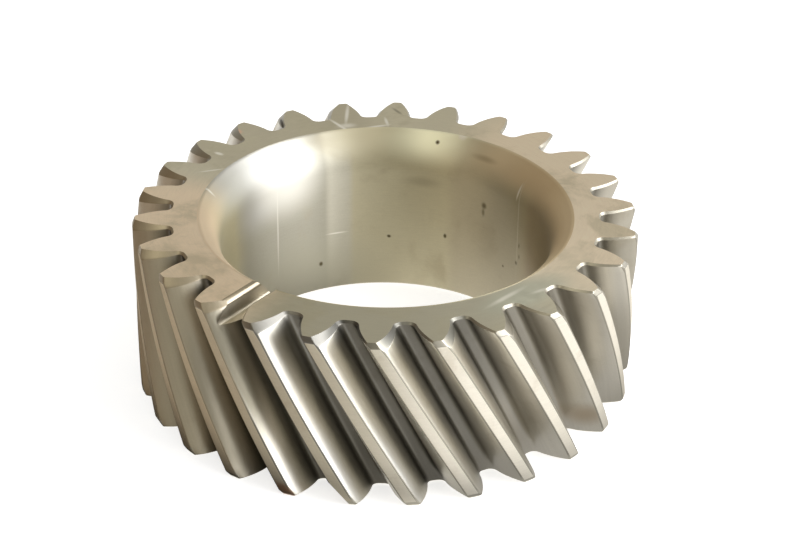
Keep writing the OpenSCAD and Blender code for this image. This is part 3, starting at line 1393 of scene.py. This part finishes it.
    def ground_flank(self) -> SteelFinish:
        """Describe the flanks and roots of the teeth, with oil and painted shade in the roots, painted
        tones by direction, and painted highlights and shade in patches.

        Returns:
            The finish.
        """
        helix = math.degrees(self.toothing.helix_angle)
        return SteelFinish(
            "ground_flank", GrooveRun.ALONG_THE_TEETH, tint=(0.82, 0.79, 0.71), stain=(0.40, 0.35, 0.26),
            roughness=0.34, spread=0.08, groove_scale=1500.0, groove_depth=0.4, stain_level=0.3,
            # Oil and painted shade in the roots.
            oil_and_shade=OilAndRootShade(0.24),
            # Tones by direction are painted reflection and shade.
            painted_light_sectors=(PaintedLightSector(246.0, 20.0, 38.0, (0.54, 0.49, 0.40)),
                       PaintedLightSector(2.0, 20.0, 42.0, (0.74, 0.71, 0.64)),
                       PaintedLightSector(44.0, 18.0, 30.0, (0.54, 0.51, 0.44))),
            # Painted highlights low on the front flanks, near the tips.
            marks=(Mark(294.0, 0.0622, 0.0080, (0.0027, 0.0090, 0.0130), (0.98, 0.98, 0.97), 0.8, 0.8),
                   Mark(309.0, 0.0622, 0.0080, (0.0027, 0.0090, 0.0130), (0.98, 0.98, 0.97), 0.8, 0.8),
                   # Painted shade up the front flanks.
                   Mark(281.0, 0.0610, 0.0390, (0.010, 0.0110, 0.0120), (0.42, 0.41, 0.38), 0.8, 0.6),
                   Mark(273.5, 0.061, 0.0320, (0.003, 0.0032, 0.0190), (0.26, 0.24, 0.19), 0.4, tilt=helix),
                   Mark(268.0, 0.061, 0.0160, (0.003, 0.0032, 0.0240), (0.34, 0.31, 0.25), 0.4, tilt=helix),
                   Mark(1.5, 0.0605, 0.0072, (0.006, 0.0035, 0.0040), (0.42, 0.32, 0.20), 0.8, 0.7),
                   # Painted shade on the right-front flanks.
                   Mark(352.0, 0.0575, 0.0370, (0.012, 0.0140, 0.0130), (0.40, 0.375, 0.325), 0.9, 0.6),
                   Mark(341.0, 0.0575, 0.0080, (0.012, 0.0060, 0.0090), (0.42, 0.395, 0.34), 0.9, 0.6),
                   Mark(243.6, 0.0620, 0.0138, (0.003, 0.0006, 0.0006), DARK)))

    def turned_land(self) -> SteelFinish:
        """Describe the tips of the teeth.

        Returns:
            The finish.
        """
        return SteelFinish(
            "turned_land", GrooveRun.ROUND_THE_AXIS, tint=(0.76, 0.71, 0.60), stain=(0.48, 0.41, 0.30),
            roughness=0.34, spread=0.10, groove_scale=2800.0, groove_depth=0.5, stain_level=0.3,
            anisotropy=0.3,
            # Tones by direction are painted reflection: lighter on the left and on the front right.
            painted_light_sectors=(PaintedLightSector(217.0, 40.0, 70.0, (0.91, 0.82, 0.67)),
                       PaintedLightSector(338.0, 22.0, 44.0, (0.95, 0.91, 0.82))),
            marks=(Mark(284.6, 0.0622, 0.0018, (0.004, 0.0045, 0.0016), RUST, 0.7, 0.8),
                   Mark(243.6, 0.0626, 0.0138, (0.003, 0.0006, 0.0006), DARK)))

    def bright_edge(self) -> SteelFinish:
        """Describe the bevels and rounded edges, with painted shade all over and darkest on the front
        teeth, and painted light near the lower face.

        Returns:
            The finish.
        """
        top = self.blank.face_width
        return SteelFinish(
            # The bevels' steel is painted darker all over: painted shade on their bright reflections.
            "bright_edge", GrooveRun.ALONG_THE_TEETH, tint=(0.38, 0.36, 0.31), stain=(0.34, 0.30, 0.22),
            roughness=0.36, spread=0.08, groove_scale=1500.0, groove_depth=0.3, stain_level=0.15,
            # Tones by direction are painted reflection and shade: brown on the left, darker in front.
            painted_light_sectors=(PaintedLightSector(232.0, 40.0, 50.0, (0.40, 0.35, 0.27)),
                       PaintedLightSector(288.0, 8.0, 14.0, (0.22, 0.215, 0.20))),
            marks=(Mark(156.3, 0.0571, top, (0.0036, 0.0003, 0.003), DARK, 0.4, tilt=-19.0, flat=True),
                   # Painted shade on the upper bevels of the front teeth.
                   Mark(311.0, 0.0535, 0.0435, (0.0082, 0.0180, 0.0040), (0.24, 0.235, 0.21), 0.12),
                   Mark(301.0, 0.0540, 0.0435, (0.0085, 0.0090, 0.0040), (0.10, 0.098, 0.09), 0.2),
                   # Painted light on the bevels near the lower face.
                   Mark(0.0, 0.0, 0.0, (0.3, 0.3, 0.0022), (0.66, 0.635, 0.56), 0.4),
                   Mark(284.6, 0.0620, 0.0012, (0.004, 0.0045, 0.0014), RUST, 0.7, 0.8)))

    def steels(self) -> dict[Zone, bpy.types.Material]:
        """Build the steel of each zone.

        Returns:
            The material of each zone.
        """
        # The slot's steel is darker than the faces: painted shade in the slot.
        slot_finish = SteelFinish("milled_slot", GrooveRun.ROUND_THE_FACE, tint=(0.46, 0.42, 0.34),
                             stain=(0.30, 0.26, 0.18), roughness=0.46, spread=0.10, groove_scale=1800.0,
                             groove_depth=0.6, stain_level=0.4)
        broken = SteelFinish("broken_steel", GrooveRun.ALONG_THE_TEETH, tint=(0.52, 0.46, 0.36),
                             stain=(0.34, 0.27, 0.18), roughness=0.42, spread=0.08, groove_scale=900.0,
                             groove_depth=0.8, stain_level=0.4)
        finishes = {Zone.FACE: self.turned_face(), Zone.BORE: self.ground_bore(),
                    Zone.FLANK: self.ground_flank(), Zone.LAND: self.turned_land(),
                    Zone.EDGE: self.bright_edge(), Zone.SLOT: slot_finish, Zone.BREAK: broken}
        return {zone: finish.material(self.toothing) for zone, finish in finishes.items()}

    def build(self) -> bpy.types.Object:
        """Build and dress the wheel.

        Returns:
            The wheel's piece, which stands for its CAD node.
        """
        toothing, blank = self.toothing, self.blank
        section = ToothSection(toothing, blank, self.ends, self.steps).mesh()
        inner, outer = blank.bore_radius * self.slot_start, toothing.tip_radius * self.slot_end
        space = self.slot.cutter(blank.face_width, inner, outer)
        corner = self.broken_corner.cutter(toothing, blank.face_width)
        cutters = [scene_object(mesh.name, mesh) for mesh in (space, corner)]
        piece = RingTree(self.steels()).run("gear_wheel_steel", section, {
            "Teeth": toothing.teeth,
            "Face Width": blank.face_width,
            "Turn Per Metre": toothing.turn_per_metre,
            "First Tooth": toothing.first_tooth,
            "Merge Distance": self.merge_distance,
            "Slot Space": cutters[0],
            "Broken Corner": cutters[1],
            "Crease Angle": self.crease_angle,
        })
        for cutter in cutters:
            bpy.data.objects.remove(cutter)
        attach(piece, "root")
        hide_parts("gear_wheel")
        triangles = sum(len(polygon.vertices) - 2 for polygon in piece.data.polygons)
        LOG.info("gear wheel: %d teeth, %d triangles", toothing.teeth, triangles)
        return piece


class RayKind(Enum):
    """Kinds of rays that don't see the room and the mat, which show only in reflections."""

    CAMERA = "visible_camera"
    DIFFUSE = "visible_diffuse"
    SHADOW = "visible_shadow"
    TRANSMISSION = "visible_transmission"


def stage_object(name: str, mesh: bpy.types.Mesh, material: bpy.types.Material,
                 hidden: Sequence[RayKind] = ()) -> bpy.types.Object:
    """Add a piece of the stage.

    Args:
        name: Its name.
        mesh: Its mesh.
        material: Its material.
        hidden: The rays that don't see it.

    Returns:
        The stage piece.
    """
    mesh.materials.append(material)
    piece = scene_object(name, mesh)
    for kind in hidden:
        setattr(piece, kind.value, False)
    return piece


def circle(radius: float, height: float, sides: int) -> list[Point]:
    """Return the corners of a level circle."""
    turns = [2 * math.pi * i / sides for i in range(sides)]
    return [(radius * math.cos(turn), radius * math.sin(turn), height) for turn in turns]


def disc(name: str, radius: float, height: float, sides: int = 64) -> bpy.types.Mesh:
    """Make a flat disc."""
    return plain_mesh(name, circle(radius, height, sides), [tuple(range(sides))])


@dataclass(frozen=True)
class Lamp:
    """A soft rectangular lamp.

    Attributes:
        bearing: Direction it hangs in, in degrees counterclockwise from the photograph's right.
        height: Angle above the floor at which it hangs, in degrees.
        distance: Distance from the point that it shines on.
        size: Its width and height.
        power: Its power in watts.
        aim: Height of the point that it shines on.
    """

    name: str
    bearing: float
    height: float
    distance: float
    size: tuple[float, float]
    power: float
    colour: Colour = (1.0, 1.0, 1.0)
    aim: float = 0.03

    def build(self, heading: float) -> bpy.types.Object:
        """Hang the lamp.

        Args:
            heading: Direction of the photograph's right in the wheel's own frame.

        Returns:
            The lamp.
        """
        data = bpy.data.lights.new(self.name, "AREA")
        data.shape = "RECTANGLE"
        data.size, data.size_y = self.size
        data.energy = self.power
        data.color = self.colour
        lamp = scene_object(self.name, data)
        bearing, height = math.radians(self.bearing) + heading, math.radians(self.height)
        away = Vector((math.cos(height) * math.cos(bearing), math.cos(height) * math.sin(bearing),
                       math.sin(height)))
        lamp.location = Vector((0, 0, self.aim)) + away * self.distance
        lamp.rotation_euler = away.to_track_quat("Z", "Y").to_euler()
        return lamp


class Way(Enum):
    """Directions in the studio, as the photograph shows them."""

    RIGHT = "right"
    BACK = "back"
    UP = "up"


@dataclass(frozen=True)
class Tone:
    """A colour that sets in along one direction, between two shares of the way."""

    way: Way
    start: float
    full: float
    tint: Colour


def blended(graph: Graph, ways: dict[Way, Signal], first: Colour, tones: Sequence[Tone]) -> Tint:
    """Let colours set in one after another.

    Args:
        graph: The material's graph.
        ways: How far the point lies along each direction, as shares.
        first: The colour underneath.
        tones: The colours that set in over it, in order.

    Returns:
        The colour at the point.
    """
    colour: Tint = first
    for tone in tones:
        colour = graph.mix_colour(ways[tone.way].above(tone.start, tone.full), colour, tone.tint)
    return colour


@dataclass(frozen=True)
class Floor:
    """The pale floor, white to the camera and in reflections."""

    radius: float = 4.0
    paper: Colour = (0.85, 0.85, 0.85)
    glow: float = 0.64

    def build(self) -> bpy.types.Object:
        """Lay the floor.

        Returns:
            The floor, which keeps the wheel's shadow.
        """
        material, graph = new_material("white_floor")
        paper = graph.node("ShaderNodeBsdfDiffuse", None, {"Color": (*self.paper, 1.0)}).out(0)
        glow = graph.node("ShaderNodeEmission", None, {"Color": WHITE, "Strength": self.glow}).out(0)
        lit = graph.node("ShaderNodeAddShader", None, {0: paper, 1: glow}).out(0)
        surface = graph.mix_shader(graph.background_rays(), paper, lit)
        graph.node("ShaderNodeOutputMaterial", None, {"Surface": surface})
        return stage_object("floor", disc("floor", self.radius, 0.0), material)


@dataclass(frozen=True)
class Room:
    """The room that shows only in reflections: grey behind, brown to the left, bright to the right.

    Each pair holds the shares of the radius between which something fades: the window's side edge,
    sill and head, and the side and head of the gap that leaves the floor in view on the right.
    """

    radius: float = 1.2
    rows: int = 12
    sides: int = 48
    window_bearing: float = math.radians(-15)
    window_edge: tuple[float, float] = (0.5, 0.75)
    window_sill: tuple[float, float] = (0.04, 0.15)
    window_head: tuple[float, float] = (0.75, 0.95)
    window_tint: Colour = (1.9, 1.9, 1.85)
    gap_edge: tuple[float, float] = (0.3, 0.55)
    gap_head: tuple[float, float] = (0.02, 0.1)
    left_tint: Colour = (0.28, 0.21, 0.14)
    tones: tuple[Tone, ...] = (
        Tone(Way.RIGHT, -0.75, 0.0, (0.44, 0.42, 0.34)),
        Tone(Way.BACK, 0.2, 0.9, (0.50, 0.48, 0.42)),
        Tone(Way.UP, 0.5, 0.95, (0.60, 0.56, 0.45)),
        Tone(Way.RIGHT, 0.3, 0.7, (0.95, 0.90, 0.80)),
    )

    def material(self, heading: float) -> bpy.types.Material:
        """Build the walls' material.

        Args:
            heading: Direction of the photograph's right in the wheel's own frame.

        Returns:
            The glowing walls, open above the floor on the right.
        """
        material, graph = new_material("dim_room")
        spot = Spot.of(graph, heading)
        right, back, up = (way / self.radius for way in (spot.x, spot.y, spot.z))
        colour = blended(graph, {Way.RIGHT: right, Way.BACK: back, Way.UP: up}, self.left_tint, self.tones)
        window = (spot.toward(self.window_bearing) / self.radius).above(*self.window_edge)
        window = window * up.above(*self.window_sill) * (1.0 - up.above(*self.window_head))
        colour = graph.mix_colour(window, colour, self.window_tint)
        cover = 1.0 - right.above(*self.gap_edge) * (1.0 - up.above(*self.gap_head))
        wall = graph.node("ShaderNodeEmission", None, {"Color": colour, "Strength": 1.0}).out(0)
        clear = graph.node("ShaderNodeBsdfTransparent").out(0)
        graph.node("ShaderNodeOutputMaterial", None, {"Surface": graph.mix_shader(cover, clear, wall)})
        return material

    def mesh(self) -> bpy.types.Mesh:
        """Make the room's shell.

        Returns:
            Half a sphere that stands on the floor.
        """
        sides = self.sides
        points: list[Point] = [(0.0, 0.0, self.radius)]
        for row in range(1, self.rows + 1):
            slant = math.pi / 2 * row / self.rows
            points += circle(self.radius * math.sin(slant), self.radius * math.cos(slant), sides)
        faces: list[Face] = [(0, 1 + i, 1 + (i + 1) % sides) for i in range(sides)]
        for first in range(1, 1 + (self.rows - 1) * sides, sides):
            after = [(i + 1) % sides for i in range(sides)]
            faces += [(first + i, first + i + sides, first + after[i] + sides, first + after[i])
                      for i in range(sides)]
        return plain_mesh("room", points, faces)

    def build(self, heading: float) -> bpy.types.Object:
        """Put up the room."""
        return stage_object("room", self.mesh(), self.material(heading), tuple(RayKind))


@dataclass(frozen=True)
class FloorShadeSheet:
    """A glowing sheet on the floor that shows only in reflections: painted floor shade, dark where the
    wheel shades the floor and brown to the left.

    The painted shade, the painted bright foot in front and the painted light inside the bore end between
    a pair of distances from the axis. The other pairs are shares of the way to the right.
    """

    radius: float = 0.3
    height: float = 0.0003
    rim: float = 0.7
    left_tint: Colour = (0.36, 0.31, 0.24)
    tones: tuple[Tone, ...] = (
        Tone(Way.RIGHT, -0.9, -0.1, (0.60, 0.57, 0.50)),
        Tone(Way.RIGHT, -0.1, 0.5, (1.0, 0.97, 0.90)),
    )
    shade: tuple[float, float] = (0.060, 0.086)
    shade_light: float = 0.08
    right_edge: tuple[float, float] = (-0.1, 0.7)
    right_light: float = 0.38
    front_start: tuple[float, float] = (-0.45, -0.15)
    front_end: tuple[float, float] = (0.1, 0.4)
    foot: tuple[float, float] = (0.063, 0.072)
    foot_light: float = 0.6
    bore: tuple[float, float] = (0.044, 0.05)
    bore_light: float = 0.7

    def material(self, heading: float) -> bpy.types.Material:
        """Build the mat's material.

        Args:
            heading: Direction of the photograph's right in the wheel's own frame.

        Returns:
            The glowing mat, clear beyond its rim.
        """
        material, graph = new_material("brown_mat")
        spot = Spot.of(graph, heading)
        right = spot.x / spot.radius
        colour = blended(graph, {Way.RIGHT: right}, self.left_tint, self.tones)
        front = right.above(*self.front_start) * (1.0 - right.above(*self.front_end))
        # The wheel's shadow painted onto the sheet, with painted light in a foot in front and inside the
        # bore.
        foot = (1.0 - spot.radius.above(*self.foot)) * front * self.foot_light
        near = right.above(*self.right_edge) * self.right_light + self.shade_light + foot
        inside = (1.0 - spot.radius.above(*self.bore)) * self.bore_light
        light = near + spot.radius.above(*self.shade) * (1.0 - near) + inside
        glow = graph.node("ShaderNodeEmission", None, {"Color": colour, "Strength": light}).out(0)
        clear = graph.node("ShaderNodeBsdfTransparent").out(0)
        fade = spot.radius.above(self.radius * self.rim, self.radius)
        graph.node("ShaderNodeOutputMaterial", None, {"Surface": graph.mix_shader(fade, glow, clear)})
        return material

    def build(self, heading: float) -> bpy.types.Object:
        """Lay the mat."""
        mesh = disc("mat", self.radius, self.height)
        return stage_object("mat", mesh, self.material(heading), tuple(RayKind))


@dataclass(frozen=True)
class Studio:
    """The floor, the soft lamps and the surroundings, with the direction of the photograph's right."""

    heading: float = math.radians(36.8)
    surround_light: float = 0.5
    lamps: tuple[Lamp, ...] = (
        Lamp("window", -15.0, 30.0, 0.85, (0.9, 0.6), 6.5),
        Lamp("ceiling_lamp", 227.0, 62.0, 0.8, (0.16, 0.16), 0.3, (1.0, 0.95, 0.72)),
    )

    def surround(self) -> None:
        """Fill the surroundings with plain light, white to the camera and in reflections."""
        world = bpy.data.worlds.new("studio")
        bpy.context.scene.world = world
        world.use_nodes = True
        graph = Graph(world.node_tree)
        soft, white = (graph.node("ShaderNodeBackground", None, {"Color": WHITE, "Strength": light}).out(0)
                       for light in (self.surround_light, 1.0))
        surface = graph.mix_shader(graph.background_rays(), soft, white)
        graph.node("ShaderNodeOutputWorld", None, {"Surface": surface})

    def build(self) -> None:
        """Set up the whole studio."""
        self.surround()
        Floor().build()
        Room().build(self.heading)
        FloorShadeSheet().build(self.heading)
        for lamp in self.lamps:
            lamp.build(self.heading)
        LOG.info("studio: floor, room, mat and %d lamps", len(self.lamps))


@dataclass(frozen=True)
class Viewpoint:
    """The camera, at the photograph's viewing angle. Lens and sensor are in millimetres."""

    place: Point = (0.290675, -0.387207, 0.308417)
    heading: Point = (-0.513576, 0.695310, -0.502776)
    roll: float = math.radians(0.772)
    lens: float = 99.874
    sensor: float = 36.0
    nearest: float = 0.01

    def build(self) -> bpy.types.Object:
        """Place the camera.

        Returns:
            The scene's camera.
        """
        data = bpy.data.cameras.new("camera")
        data.lens = self.lens
        data.sensor_width = self.sensor
        data.clip_start = self.nearest
        camera = scene_object("camera", data)
        look = Vector(self.heading).to_track_quat("-Z", "Y").to_matrix()
        turn = look @ Matrix.Rotation(self.roll, 3, "Z")
        camera.matrix_world = Matrix.Translation(self.place) @ turn.to_4x4()
        bpy.context.scene.camera = camera
        LOG.info("camera: %.1f mm lens", self.lens)
        return camera


def main() -> None:
    """Build the wheel, the studio and the camera, and note the sizes."""
    logging.basicConfig(level=logging.INFO, format="%(name)s: %(message)s")
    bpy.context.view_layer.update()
    GearWheel().build()
    Studio().build()
    Viewpoint().build()
    bpy.context.scene.view_settings.view_transform = "Standard"


if __name__ == "__main__":
    main()
